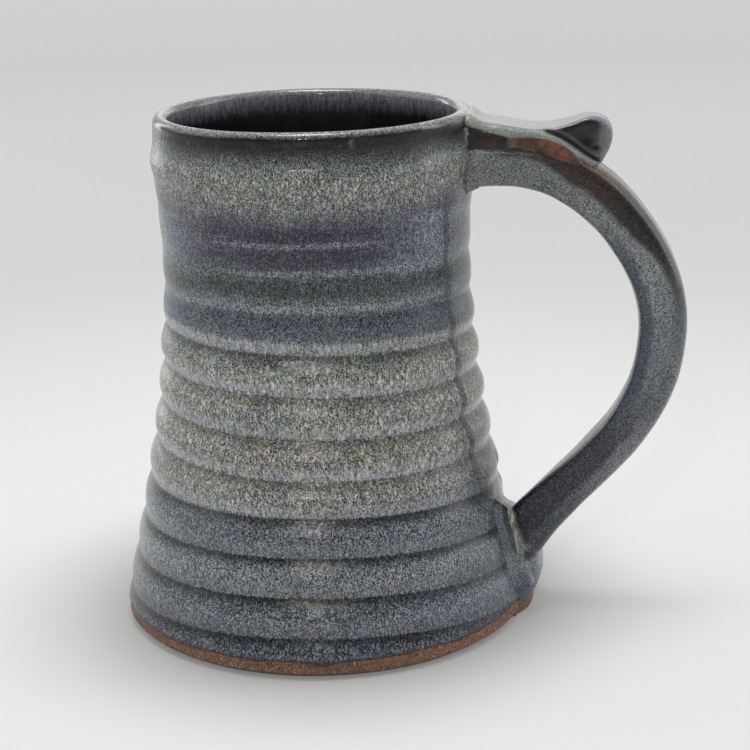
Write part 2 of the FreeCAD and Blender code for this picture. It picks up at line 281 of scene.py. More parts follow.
def inside_radius(theta, z):
    """The liner's face, with faint throwing rings."""
    phase = np.mod(ring_phase(theta, z) + 0.45, 1.0)
    rings = 0.35 * np.cos(TAU * phase) * smooth(10, 30, z) * (1 - smooth(112, 134, z))
    return inside_line(z) + rings + 0.1 * grain(21, 30, *noise_place(theta), z)


def lip_rise(theta):
    """How far the lip's top dips, in mm, at most 0.22."""
    return -0.22 * (1 + grain(31, 30, *noise_place(theta), 0)) / 2


ROLL_LEVEL = 1.3
FLOOR_CLAY = 9.3
FLOOR_RADII = (42.9, 24.0, 6.0)


def lip_arch(theta, skin, count, rise):
    """Loops over the lip, from its outside to its inside, a skin's thickness under the glaze's face."""
    outer_foot = wall_radius(theta, LIP_BASE) - skin
    inner_foot = inside_radius(theta, LIP_BASE) + skin
    middle, half = (outer_foot + inner_foot) / 2, (outer_foot - inner_foot) / 2
    angles = np.linspace(0, math.pi, count)[1:-1]
    return [turned(middle + half * math.cos(angle), LIP_BASE + rise(angle), theta) for angle in angles]


def clay_lip(theta):
    """The clay's own lip, under the glaze."""
    return lip_arch(theta, GLAZE, 9, lambda angle: (LIP_HALF - GLAZE - 0.2) * math.sin(angle))


def inside_rows(theta, heights, skin=0.0):
    return [turned(inside_radius(theta, z) + skin, z, theta) for z in heights]


def floor_rows(theta):
    return [turned(radius, FLOOR_CLAY, theta) for radius in FLOOR_RADII]


def outer_coat(material):
    columns, inner_columns = 288, 96
    theta = circle(columns)
    rows = []
    edge = glaze_edge(theta)
    clay = wall_radius(theta, edge) - GLAZE
    for share, drop in ((0.0, 0.0), (0.45, 0.02), (0.85, 0.16), (1.12, 0.42), (1.2, 0.85)):
        rows.append(turned(clay + GLAZE * share, edge + drop, theta))
    for step in np.linspace(0, 1, 244)[1:]:
        z = edge + ROLL_LEVEL + (LIP_BASE - edge - ROLL_LEVEL) * step
        roll = 0.14 * bell(z - edge - ROLL_LEVEL, 1.6)
        rows.append(turned(wall_radius(theta, z) + roll, z, theta))
    height = LIP_HALF + lip_rise(theta)

    def rise(angle):
        ridge = 1 + 0.02 * math.cos(9 * angle) * math.sin(angle)
        return height * math.sin(angle) ** 0.92 * ridge

    rows += lip_arch(theta, 0.0, 19, rise)
    rows += inside_rows(theta, np.append(np.linspace(LIP_BASE, SEAM_LEVEL + 0.02, 6), SEAM_LEVEL))
    outside = np.concatenate(rows)
    count = len(rows)
    faces = ring_faces(count, columns)

    theta = circle(inner_columns)
    edge = glaze_edge(theta)
    rows = []
    for step in np.linspace(0, 1, 108):
        z = edge + (LIP_BASE - edge) * step
        rows.append(turned(wall_radius(theta, z) - GLAZE, z, theta))
    rows += clay_lip(theta) + inside_rows(theta, np.linspace(LIP_BASE, SEAM_LEVEL, 3), GLAZE)
    inside = np.concatenate(rows)
    start = count * columns
    faces += ring_faces(len(rows), inner_columns, start, flip=True)
    last = (count - 1) * columns
    inner_last = start + (len(rows) - 1) * inner_columns
    caps = range(len(faces), len(faces) + 2 * inner_columns)
    faces += bridge(0, columns, start, inner_columns, flip=True)
    faces += bridge(last, columns, inner_last, inner_columns)
    verts = np.concatenate([outside, inside])
    add_piece("outer_glaze_coat", verts, faces, ["outer_glaze"], material, caps=caps)


def liner_coat(material):
    columns = 160
    theta = circle(columns)
    heights = np.concatenate([[SEAM_LEVEL], np.linspace(SEAM_LEVEL - 0.02, 22, 112), np.linspace(21, 10, 16)])
    rows = inside_rows(theta, heights)
    for radius in np.linspace(42.6, 4.0, 26):
        swirl = 0.072 * math.cos(radius * 1.15) * smooth(3, 12, radius)
        dome = 0.14 * (radius / 42.6) ** 6 + 0.15 * bell(radius, 12)
        rows.append(turned(radius, 9.85 + dome + swirl, theta))
    front = np.concatenate(rows)
    rows_back = inside_rows(theta, heights[::4], GLAZE) + floor_rows(theta)
    back = np.concatenate(rows_back)
    verts = np.concatenate([front, back, [[0, 0, 10.02], [0, 0, FLOOR_CLAY]]])
    faces = ring_faces(len(rows), columns)
    start = len(front)
    faces += ring_faces(len(rows_back), columns, start, flip=True)
    caps = range(len(faces), len(faces) + columns)
    faces += bridge(0, columns, start, columns, flip=True)
    faces += fan(len(front) - columns, columns, len(verts) - 2)
    faces += fan(start + len(back) - columns, columns, len(verts) - 1, flip=True)
    add_piece("liner_glaze_coat", verts, faces, ["liner_glaze"], material, caps=caps)


def clay_body(material):
    columns = 192
    theta = circle(columns)
    rows = []
    for radius in (2.0, 10, 18, 26, 33, 40, 46, 50.5, 53.0, 54.6, 55.4):
        dish = 0.5 * (1 - smooth(44, 50, radius))
        turning = 0.12 * np.cos(radius * 2.1 + theta) * dish
        rows.append(turned(radius, dish + turning, theta))
    x, y = noise_place(theta)
    bevel_wave = 0.15 * grain(41, 9, x, y, 0)
    for radius, z in ((56.0, 0.1), (56.9, 0.8), (57.8, 1.4), (58.2, 1.75)):
        rows.append(turned(radius + bevel_wave, z, theta))
    for z in np.linspace(1.9, 5.8, 14):
        rough = 0.05 * grain(42, 1.1, x, y, z) + 0.05 * grain(43, 0.7, 0 * x, 0 * y, z)
        rows.append(turned(wall_radius(theta, z) - GLAZE + rough, z, theta))
    for z in np.linspace(6.8, LIP_BASE, 100):
        rows.append(turned(wall_radius(theta, z) - GLAZE, z, theta))
    rows += clay_lip(theta)
    rows += inside_rows(theta, np.append(np.linspace(LIP_BASE, 20, 40), np.linspace(18, 10, 8)), GLAZE)
    rows += floor_rows(theta)
    verts = np.concatenate(rows + [[[0, 0, 0.5], [0, 0, FLOOR_CLAY]]])
    faces = ring_faces(len(rows), columns)
    faces += fan(0, columns, len(verts) - 2, flip=True)
    faces += fan((len(rows) - 1) * columns, columns, len(verts) - 1)
    add_piece("clay_body", verts, faces, ["thrown_body"], material)


# ---- handle pieces ----

STRAP_KNOTS = [(41.0, 130.6), (47.7, 130.5), (59.1, 130.0), (70.5, 126.4), (81.9, 117.9), (91.0, 105.5),
               (96.2, 93.1), (97.0, 80.6), (94.4, 67.3), (88.0, 54.9), (79.7, 44.8), (70.4, 35.4),
               (62.6, 26.9), (56.5, 19.0), (53.0, 14.0)]


def smooth_path(knots, count):
    """Evenly spaced points and directions along a smooth curve through the knots."""
    knots = np.array(knots, float)
    padded = np.vstack([2 * knots[0] - knots[1], knots, 2 * knots[-1] - knots[-2]])
    fine = []
    for i in range(1, len(padded) - 2):
        p0, p1, p2, p3 = padded[i - 1:i + 3]
        for t in np.linspace(0, 1, 40, endpoint=False):
            fine.append(0.5 * (2 * p1 + (p2 - p0) * t + (2 * p0 - 5 * p1 + 4 * p2 - p3) * t ** 2
                               + (3 * p1 - p0 - 3 * p2 + p3) * t ** 3))
    fine = np.array(fine + [knots[-1]])
    for _ in range(60):
        fine[1:-1] += 0.25 * (fine[2:] + fine[:-2] - 2 * fine[1:-1])
    run = np.concatenate([[0], np.cumsum(np.linalg.norm(np.diff(fine, axis=0), axis=1))])
    at = np.linspace(0, run[-1], count)
    points = np.stack([np.interp(at, run, fine[:, k]) for k in (0, 1)], -1)
    heading = np.gradient(points, axis=0)
    heading /= np.linalg.norm(heading, axis=1)[:, None]
    return points, heading


strap_thick = line_through([(0, 12.4), (0.05, 12.2), (0.1, 12.3), (0.25, 13.3), (0.5, 12.9), (0.75, 11.6),
                            (0.9, 12.8), (0.96, 13.4), (1, 13.4)])
strap_wide = line_through([(0, 22.5), (0.05, 21.2), (0.25, 20.6), (0.5, 20), (0.75, 18.8), (0.94, 18.2),
                           (1, 19.5)])


def strap(material):
    rows, columns = 230, 76
    points, heading = smooth_path(STRAP_KNOTS, rows)
    along = np.linspace(0, 1, rows)[:, None]
    turn = circle(columns)[None, :]
    outer_power = 2 / (4.6 - 1.2 * smooth(0.45, 0.7, along))
    power = np.where(np.sin(turn) > 0, outer_power, 2 / 7.0)
    side = np.sign(np.cos(turn)) * np.abs(np.cos(turn)) ** power
    depth = np.sign(np.sin(turn)) * np.abs(np.sin(turn)) ** power
    outward = np.stack([-heading[:, 1], heading[:, 0]], -1)
    across = side * strap_wide(along) / 2
    crown = 0.3 * (1 - side ** 2) * depth
    flute = -0.3 * bell(side, 0.42) * smooth(0.7, 0.95, depth) * smooth(0.25, 0.4, along)
    flare = -2.6 * np.exp(-along / 0.014) * smooth(0.2, 0.9, -depth)
    off = depth * strap_thick(along) / 2 + crown + flute + flare
    lumps = 0.22 * grain(51, 14, along * 190, side * 8, depth * 6)
    lumps = lumps + 0.07 * grain(52, 4.5, along * 190, side * 8, depth * 6)
    lean = smooth(0.42, 0.62, along) + 1.1 * smooth(0.74, 0.92, along) - 2.1 * smooth(0.97, 1, along)
    twist = -1.1 * side * smooth(0.2, 0.9, -depth) * lean
    off = off + depth * lumps + twist
    across = across * (1 - 0.012 * np.abs(depth)) + side * 0.6 * lumps
    u = points[:, :1] + outward[:, :1] * off
    z = points[:, 1:] + outward[:, 1:] * off
    verts = np.stack([u, -across, z], -1).reshape(-1, 3)
    faces = ring_faces(rows, columns)
    faces.append(list(range(columns))[::-1])
    faces.append(list(range((rows - 1) * columns, rows * columns)))
    values = {"along": along, "across": side, "depth": depth}
    values = {key: np.broadcast_to(numbers, (rows, columns)) for key, numbers in values.items()}
    nodes = ["handle_strap", "handle_glaze"]
    add_piece("pulled_strap", verts, faces, nodes, material, values)


REST_TOP = [(41.0, 143.0), (42.8, 144.0), (44.4, 144.2), (46.0, 143.0), (48.0, 142.1), (51.5, 141.5),
            (55, 140.9), (60, 140.1), (64, 139.9), (68, 140.4), (72, 141.5), (75, 142.5), (77.6, 142.8),
            (80.3, 142.0), (82.2, 139.8), (82.6, 137.0), (81.8, 133.8), (80.5, 131.4), (79.6, 130.0),
            (78.0, 129.0)]
REST_UNDER = [(78.0, 129.0), (76.2, 127.5), (72.0, 129.5), (66, 132.2), (60, 133.4), (50, 133.4),
              (41.0, 133.0)]
REST_VOXEL = 0.42
rest_half_width = line_through([(40, 10.5), (50, 10.3), (56, 9.9), (62, 8.9), (68, 8.0), (74, 7.1), (79, 6.3),
                                (84, 5.2)])
rest_bevel = line_through([(40, 3.4), (52, 3.2), (60, 2.4), (66, 1.6), (74, 1.9), (80, 2.6)])
rest_crease = line_through([(60, 140.2), (64, 139.6), (67.6, 138.4), (70.1, 137.0), (72.6, 135.2),
                            (75.1, 133.2), (79.6, 130.4)])


def thumb_rest(material):
    top, _ = smooth_path(REST_TOP, 120)
    under, _ = smooth_path(REST_UNDER, 60)
    outline = np.vstack([top, under[1:-1]])
    count = len(outline)
    heading = np.roll(outline, -1, axis=0) - np.roll(outline, 1, axis=0)
    heading /= np.linalg.norm(heading, axis=1)[:, None]
    inward = np.stack([heading[:, 1], -heading[:, 0]], -1)
    half, bevel = rest_half_width(outline[:, 0]), rest_bevel(outline[:, 0])
    slices = [(side, math.radians(lean)) for side in (-1, 1) for lean in np.linspace(-90, 0, 8)[::-side]]
    verts = []
    for side, lean in slices:
        across = side * (half - bevel - bevel * math.sin(lean))
        ring = outline + inward * (bevel * (1 - math.cos(lean)))[:, None]
        verts.append(np.stack([ring[:, 0], across, ring[:, 1]], -1))
    faces = ring_faces(len(slices), count, flip=True)
    faces.append(list(range(count)))
    faces.append(list(range((len(slices) - 1) * count, len(slices) * count))[::-1])
    points, faces = remeshed(np.concatenate(verts), faces, REST_VOXEL)
    u, y, z = points.T
    half = rest_half_width(u)
    side = smooth(0.6, 1.0, np.abs(y) / half)
    flank = smooth(0.88, 0.97, np.abs(y) / half)
    below = rest_crease(u) - z
    curled = smooth(60, 66, u)
    ramp = side * curled * np.clip(below, 0, 5) * 0.55
    gully = side * bell(below, 0.6) * smooth(62, 66, u) * (1 - smooth(78.5, 80.5, u)) * 0.9
    hollow = side * bell(np.hypot((u - 75.5) / 1.35, z - 137.0), 3.4) * 1.3
    pit = side * bell(np.hypot((u - 78.1) / 1.3, z - 134.4), 0.75)
    y = y + np.sign(y) * (ramp - gully - hollow - pit)
    z = z + 0.14 * grain(61, 6, u, y, z) + 0.05 * grain(63, 2, u, y, z)
    y = y + 0.14 * grain(62, 5, u, y, z)
    values = {"side": flank, "below": below, "pit": pit + gully}
    verts = np.stack([u, y, z], -1)
    add_piece("thumb_rest_strip", verts, faces, ["thumb_rest"], material, values)


def remeshed(verts, faces, voxel):
    """The same closed shape with even faces of about the voxel's size."""
    data = bpy.data.meshes.new("blank")
    data.from_pydata((verts * MM).tolist(), [], faces)
    blank = bpy.data.objects.new("blank", data)
    bpy.context.scene.collection.objects.link(blank)
    even = blank.modifiers.new("even", "REMESH")
    even.mode = "VOXEL"
    even.voxel_size = voxel * MM
    relax = blank.modifiers.new("relax", "SMOOTH")
    relax.iterations = 4
    relax.factor = 0.5
    ready = bpy.data.meshes.new_from_object(blank.evaluated_get(bpy.context.evaluated_depsgraph_get()))
    bpy.data.objects.remove(blank)
    points = np.zeros(len(ready.vertices) * 3)
    ready.vertices.foreach_get("co", points)
    return points.reshape(-1, 3) / MM, [list(polygon.vertices) for polygon in ready.polygons]


def wall_patch(name, half_width, low, high, columns, rows, lift, nodes, material, depth=2.2):
    """A lump of clay on the vessel's wall by the handle. lift(y, z) is how far it stands out of the wall."""
    y = np.linspace(-half_width, half_width, columns)[None, :]
    z = np.linspace(low, high, rows)[:, None]
    y, z = np.broadcast_arrays(y, z)
    theta = np.arcsin(np.clip(y / base_radius(z), -1, 1))
    wall = wall_radius(theta, z)
    height = lift(y, z)
    outer = turned(wall + height, z, theta)
    inner = turned(wall - depth, z, theta)
    verts = np.concatenate([outer.reshape(-1, 3), inner.reshape(-1, 3)])
    faces = []
    total = rows * columns
    for i in range(rows - 1):
        for j in range(columns - 1):
            a = i * columns + j
            faces.append((a, a + 1, a + 1 + columns, a + columns))
            faces.append((total + a + columns, total + a + 1 + columns, total + a + 1, total + a))
    border = list(range(columns))
    border += [i * columns + columns - 1 for i in range(1, rows)]
    border += [(rows - 1) * columns + j for j in range(columns - 2, -1, -1)]
    border += [i * columns for i in range(rows - 2, 0, -1)]
    for a, b in zip(border, border[1:] + border[:1]):
        faces.append((b, a, total + a, total + b))
    values = {"lift": np.tile(height.ravel(), 2)}
    add_piece(name, verts, faces, nodes, material, values)


def box_distance(y, z, half_y, low, high, corner):
    """Distance outside a rounded rectangle, negative inside."""
    middle, half_z = (low + high) / 2, (high - low) / 2
    dy = np.abs(y) - (half_y - corner)
    dz = np.abs(z - middle) - (half_z - corner)
    outside = np.hypot(np.clip(dy, 0, None), np.clip(dz, 0, None))
    return outside + np.minimum(np.maximum(dy, dz), 0) - corner


def upper_seam_lift(y, z):
    away = box_distance(y, z, 10.2, 124.2, 141.0, 2.6)
    crumbs = 0.5 * grain(71, 1.2, y, z, 0) + 0.4 * grain(72, 0.7, y, z, 0)
    ridge = (0.9 + crumbs) * bell(away - 0.5, 0.8)
    fillet = 3.0 * np.exp(-np.clip(away, 0, None) / 0.9) * smooth(126, 124, z) * smooth(11, 9, np.abs(y))
    return ridge + fillet - 0.25 + 1.4 * (away < -1.2)


def lower_ridge_lift(y, z):
    side = np.abs(y) + 0.4 * grain(73, 4, y, z, 0)
    top = 1 - smooth(26.4, 32.6, z + 0.34 * y)
    stand = 5.2 * (1 - smooth(10.6, 14.4, side)) * top
    bead = 0.8 * bell(side - 11.4, 0.6) * top * smooth(16, 24, z)
    gully = 0.9 * bell(side - 12.6, 0.6) * top
    return stand + bead - gully - 0.25 + 0.1 * grain(74, 1.2, y, z, 0)


def tail_lift(y, z):
    power = 2.4 + 3.0 * smooth(8, 17, z)
    plan = np.clip(1 - (np.abs(y) / 12.6) ** power, 0, 1)
    profile = line_through([(0.3, 1.5), (1.6, 2.3), (3.0, 2.7), (5.5, 4.3), (8.4, 5.9), (11.2, 7.2),
                            (14.4, 7.7), (17.8, 8.0), (20.0, 7.4), (22.0, 5.0), (25, 1.0), (28, -1.2)])
    lumps = 0.2 * grain(75, 5, y, z, 0) + 0.08 * grain(76, 2, y, z, 0)
    return (profile(z) + 1.2) * plan ** 0.9 - 1.2 + lumps * plan


def handle_joints(material):
    wall_patch("upper_joint_seam", 14.5, 119.5, 143.2, 120, 90, upper_seam_lift, ["upper_joint_coil"],
               material)
    wall_patch("lower_joint_ridge", 14.4, 9.0, 35.5, 110, 96, lower_ridge_lift, ["lower_joint_coil"],
               material)
    wall_patch("tail_pad_clay", 14.6, 0.3, 28.0, 100, 96, tail_lift, ["tail_pad"], material, depth=3.0)


# ---- materials ----

NOISE_GAIN = 3.2


class Signal:
    """A number carried by shader nodes, so that plain arithmetic builds the tree."""

    def __init__(self, shader, socket):
        self.shader, self.socket = shader, socket

    def _op(self, kind, *others, clamp=False):
        return self.shader.math(kind, self, *others, clamp=clamp)

    def __add__(self, other):
        return self._op("ADD", other)

    __radd__ = __add__

    def __sub__(self, other):
        return self._op("SUBTRACT", other)

    def __rsub__(self, other):
        return self.shader.math("SUBTRACT", other, self)

    def __mul__(self, other):
        return self._op("MULTIPLY", other)

    __rmul__ = __mul__

    def __truediv__(self, other):
        return self._op("DIVIDE", other)

    def fraction(self):
        return self._op("FRACT")

    def clamped(self):
        return self._op("ADD", 0.0, clamp=True)

    def at_least(self, other):
        return self._op("MAXIMUM", other)

    def at_most(self, other):
        return self._op("MINIMUM", other)

    def power(self, other):
        return self._op("POWER", other)

    def size(self):
        return self._op("ABSOLUTE")

    def rise(self, low, high):
        """0 below low, 1 above high and a smooth step between. High may be under low."""
        return self.shader.remap(self, low, high)

    def hump(self, start, full, until, end):
        return self.rise(start, full) * self.rise(end, until)


class Shader:
    """One material's node tree."""

    def __init__(self, name):
        self.material = bpy.data.materials.new(name)
        self.material.use_nodes = True
        self.tree = self.material.node_tree
        self.nodes = self.tree.nodes
        self.surface = self.nodes["Principled BSDF"]
        self.colour = None
        place = self.nodes.new("ShaderNodeTexCoord")
        self.place = self.gain(place.outputs["Object"], 1 / MM)
        parts = self.nodes.new("ShaderNodeSeparateXYZ")
        self.plug(self.place, parts.inputs[0])
        self.x, self.y, self.z = (Signal(self, socket) for socket in parts.outputs)

    def plug(self, value, socket):
        if isinstance(value, Signal):
            value = value.socket
        if isinstance(value, bpy.types.NodeSocket):
            self.tree.links.new(value, socket)
        else:
            socket.default_value = value

    def math(self, kind, *inputs, clamp=False):
        node = self.nodes.new("ShaderNodeMath")
        node.operation = kind
        node.use_clamp = clamp
        for value, socket in zip(inputs, node.inputs):
            self.plug(value, socket)
        return Signal(self, node.outputs[0])

    def remap(self, value, low, high):
        node = self.nodes.new("ShaderNodeMapRange")
        node.interpolation_type = "SMOOTHSTEP"
        self.plug(value, node.inputs["Value"])
        ends = (low, high, 0.0, 1.0) if low < high else (high, low, 1.0, 0.0)
        for socket, number in zip(node.inputs[1:5], ends):
            socket.default_value = number
        return Signal(self, node.outputs[0])

    def vector_math(self, kind, *inputs):
        node = self.nodes.new("ShaderNodeVectorMath")
        node.operation = kind
        for value, socket in zip(inputs, node.inputs):
            self.plug(value, socket)
        return node.outputs[0]

    def gain(self, vector, amount):
        """A vector or colour times a number."""
        scaled = self.vector_math("SCALE", vector)
        self.plug(amount, scaled.node.inputs["Scale"])
        return scaled

    def from_axis(self):
        return self.math("SQRT", self.x * self.x + self.y * self.y)

    def bearing(self):
        """Degrees round the vessel's axis, 0 at the handle."""
        return self.math("ARCTAN2", self.y, self.x) * (360 / TAU)

    def stretched(self, x, y, z):
        """The place, scaled along each axis."""
        return self.vector_math("MULTIPLY", self.place, (x, y, z))

    def noise_node(self, size, where=None):
        node = self.nodes.new("ShaderNodeTexNoise")
        self.plug(where or self.place, node.inputs["Vector"])
        node.inputs["Scale"].default_value = 1 / size
        return node

    def noise(self, size, detail=2.0, rough=0.55, where=None):
        """Noise with lumps of about size mm, centred on 0 with most of it within -1 to 1."""
        node = self.noise_node(size, where)
        node.inputs["Detail"].default_value = detail
        node.inputs["Roughness"].default_value = rough
        return (Signal(self, node.outputs["Fac"]) - 0.5) * NOISE_GAIN

    def grains(self, fine_size=0.26, fine_end=0.4, coarse_size=0.62):
        """The glaze's fine and coarse grains, each from 0 to 1."""
        fine = self.noise(fine_size, 1.0, 0.6).rise(-fine_end, fine_end)
        coarse = self.noise(coarse_size, 2.0, 0.6).rise(-0.55, 0.55)
        return fine, coarse

    def streaks(self):
        """Narrow and wide streaks that run down the vessel."""
        flow = self.stretched(1, 1, 0.16)
        return self.noise(0.75, 2.0, 0.6, flow), self.noise(2.6, 2.0, 0.6, flow)

    def cells(self, size, where=None, feature="F1"):
        node = self.nodes.new("ShaderNodeTexVoronoi")
        node.feature = feature
        self.plug(where or self.place, node.inputs["Vector"])
        node.inputs["Scale"].default_value = 1 / size
        return Signal(self, node.outputs["Distance"])

    def moved(self, offset_size, amount, where=None):
        """The place, pushed about by noise."""
        push = self.noise_node(offset_size, where).outputs["Color"]
        return self.vector_math("MULTIPLY_ADD", push, (amount,) * 3, where or self.place)

    def ramp(self, value, stops):
        """A colour from stops of (value, tone)."""
        node = self.nodes.new("ShaderNodeValToRGB")
        last = stops[-1][0]
        self.plug(value / last, node.inputs["Fac"])
        points = node.color_ramp.elements
        while len(points) < len(stops):
            points.new(0.5)
        for point, (position, shade) in zip(points, stops):
            point.position = position / last
            point.color = (*tone(*shade), 1.0)
        return node.outputs["Color"]

    def mix(self, share, first, second):
        node = self.nodes.new("ShaderNodeMix")
        node.data_type = "RGBA"
        self.plug(share, node.inputs["Factor"])
        for value, socket in ((first, node.inputs[6]), (second, node.inputs[7])):
            self.plug((*value, 1.0) if isinstance(value, tuple) else value, socket)
        return node.outputs[2]

    def lay(self, share, shade):
        """Lays a tone, or another colour's socket, over the colour so far."""
        self.colour = self.mix(share, self.colour, tone(*shade) if isinstance(shade, tuple) else shade)

    def shade(self, amount):
        """Multiplies the colour so far by a number."""
        self.colour = self.gain(self.colour, amount)

    def tint(self, size, amount):
        """Stirs the hue of the colour so far at the given size."""
        hues = self.noise_node(size).outputs["Color"]
        spread = (amount * 1.2, amount, amount * 1.4)
        base = (1 - amount * 0.6, 1 - amount * 0.5, 1 - amount * 0.7)
        stirred = self.vector_math("MULTIPLY_ADD", hues, spread, base)
        self.colour = self.vector_math("MULTIPLY", self.colour, stirred)

    def value_of(self, name):
        node = self.nodes.new("ShaderNodeAttribute")
        node.attribute_name = name
        return Signal(self, node.outputs["Fac"])

    def bump(self, *layers):
        """Height layers as (signal, height in mm), one on top of another."""
        below = None
        for height, depth in layers:
            node = self.nodes.new("ShaderNodeBump")
            node.inputs["Strength"].default_value = 1.0
            node.inputs["Distance"].default_value = depth * MM
            self.plug(height, node.inputs["Height"])
            if below:
                self.tree.links.new(below, node.inputs["Normal"])
            below = node.outputs["Normal"]
        self.tree.links.new(below, self.surface.inputs["Normal"])

    def finish(self, rough, ior=1.5):
        self.plug(self.colour, self.surface.inputs["Base Color"])
        self.plug(rough, self.surface.inputs["Roughness"])
        self.surface.inputs["IOR"].default_value = ior
        return self.material


# Gloss adds about VEIL to the look of every surface. The rest is its base colour over TONE_GAIN.
VEIL = 0.012
DARKEST = 0.003
TONE_GAIN = 2.3


def tone(red, green, blue):
    """Base colour of a surface that looks like this 8-bit tone in the studio's light."""
    linear = [((v / 255 + 0.055) / 1.055) ** 2.4 for v in (red, green, blue)]
    return tuple(max(v - VEIL, DARKEST) * TONE_GAIN for v in linear)


# The wall's tone at each height in mm.
WALL_TONES = [
    (0, (44, 48, 55)), (8, (46, 50, 56)), (14, (66, 70, 75)), (19, (50, 54, 56)), (24, (76, 80, 83)),
    (30, (66, 70, 72)), (36, (62, 66, 70)), (40, (60, 63, 67)), (43.5, (80, 83, 85)), (47, (100, 101, 98)),
    (55, (103, 104, 100)), (64, (103, 104, 99)), (79, (109, 111, 107)), (87, (76, 80, 80)),
    (91, (66, 71, 77)), (96, (58, 64, 70)), (98.5, (74, 78, 82)), (102, (50, 56, 56)),
    (107, (62, 67, 69)), (111, (42, 42, 51)), (115, (56, 56, 64)), (118, (44, 44, 52)),
    (121.5, (60, 61, 68)), (124.5, (84, 86, 88)), (127, (96, 98, 96)), (133, (100, 102, 99)),
    (136, (78, 82, 82)), (139, (52, 54, 53)), (141, (32, 31, 29)), (143.3, (32, 30, 28)),
    (144.0, (72, 74, 74)), (145, (98, 100, 100)),
]
# Long marks on the wall: bearing and spread in degrees, height, half height, tone.
LENSES = [
    (-84, 25, 118.2, 1.9, (38, 36, 46)), (-82, 27, 112.4, 2.3, (36, 34, 47)),
    (-78, 58, 103.8, 2.5, (44, 51, 51)), (-90, 34, 115.5, 0.7, (84, 86, 92)),
    (-80, 40, 108.0, 0.9, (86, 89, 94)), (-86, 75, 98.2, 1.0, (88, 92, 96)),
    (138, 34, 116.5, 2.2, (38, 36, 46)), (95, 32, 110.5, 2.4, (36, 34, 47)),
    (120, 42, 113.5, 0.8, (84, 86, 92)), (112, 58, 104.6, 2.3, (44, 51, 51)),
    (60, 50, 99.4, 1.0, (86, 90, 95)),
]


def ring_step(shader):
    """How far down its ring a place lies, 0 to 1, worked out as ring_phase does for the shape."""
    turn = (shader.bearing() / 360 - SEAM_TURN).fraction()
    around = turn * TAU
    wave = shader.math("SINE", around)
    swing = (1 - shader.math("COSINE", around)) * 0.575 + wave * 0.6
    low = ((52 - shader.z) / 44).clamped().power(0.6) * wave * wave * 4
    phase = (swing + low - shader.z + TOP_GROOVE - turn * RING_PITCH) / RING_PITCH
    return phase.fraction()


def wall_marks(s, drift, blotch, streak, wide_streak):
    """The lens-shaped marks, a painted grey sheen on the sides, a painted dark reflection of the handle
    beside it and a streaky darker patch beside its lower joint.
    """
    z, bearing = s.z, s.bearing()
    wander = drift * 0.20 + blotch * 0.30 + streak * 0.15
    for middle, spread, level, half_height, shade in LENSES:
        across = (bearing - middle) / spread
        up = (z + wander - level) / half_height
        s.lay((across * across + up * up).rise(1.2, 0.65) * 0.62, shade)
    # Painted reflection: away from the front, the sides are laid a paler grey-blue from 104 to 123 mm, for
    # the bright studio mirrored at the vessel's edges.
    front = s.x.hump(-44, -20, 18, 38) * s.y.rise(0, -10)
    patchy = (blotch * 0.2 + s.noise(20, 2.0) * 0.5 + 0.7).clamped()
    s.lay(z.hump(104, 108, 120, 123) * (1 - front) * patchy * 0.75, (96, 102, 112))
    # Painted reflection: a dark wavy line at about -20 degrees stands in for the handle mirrored in the
    # glossy wall.
    waver = blotch * 1.5 + s.noise(12, 2.0) * 1.2 + z * 0.08
    handle_reflection = (bearing + waver).hump(-22, -20.4, -18.2, -16.8) * z.hump(40, 50, 118, 126)
    s.lay(handle_reflection * 0.7, (34, 38, 44))
    # A streaky darker patch on the near side of the wall, beside the handle's lower joint, from 16 to 62 mm.
    by_joint = s.x.rise(37, 47) * s.y.rise(3, -5) * z.hump(16, 24, 44, 62)
    streakiness = (streak * 0.5 + wide_streak * 0.5 + 0.55).clamped()
    s.lay(by_joint * streakiness * 0.8, (36, 39, 43))


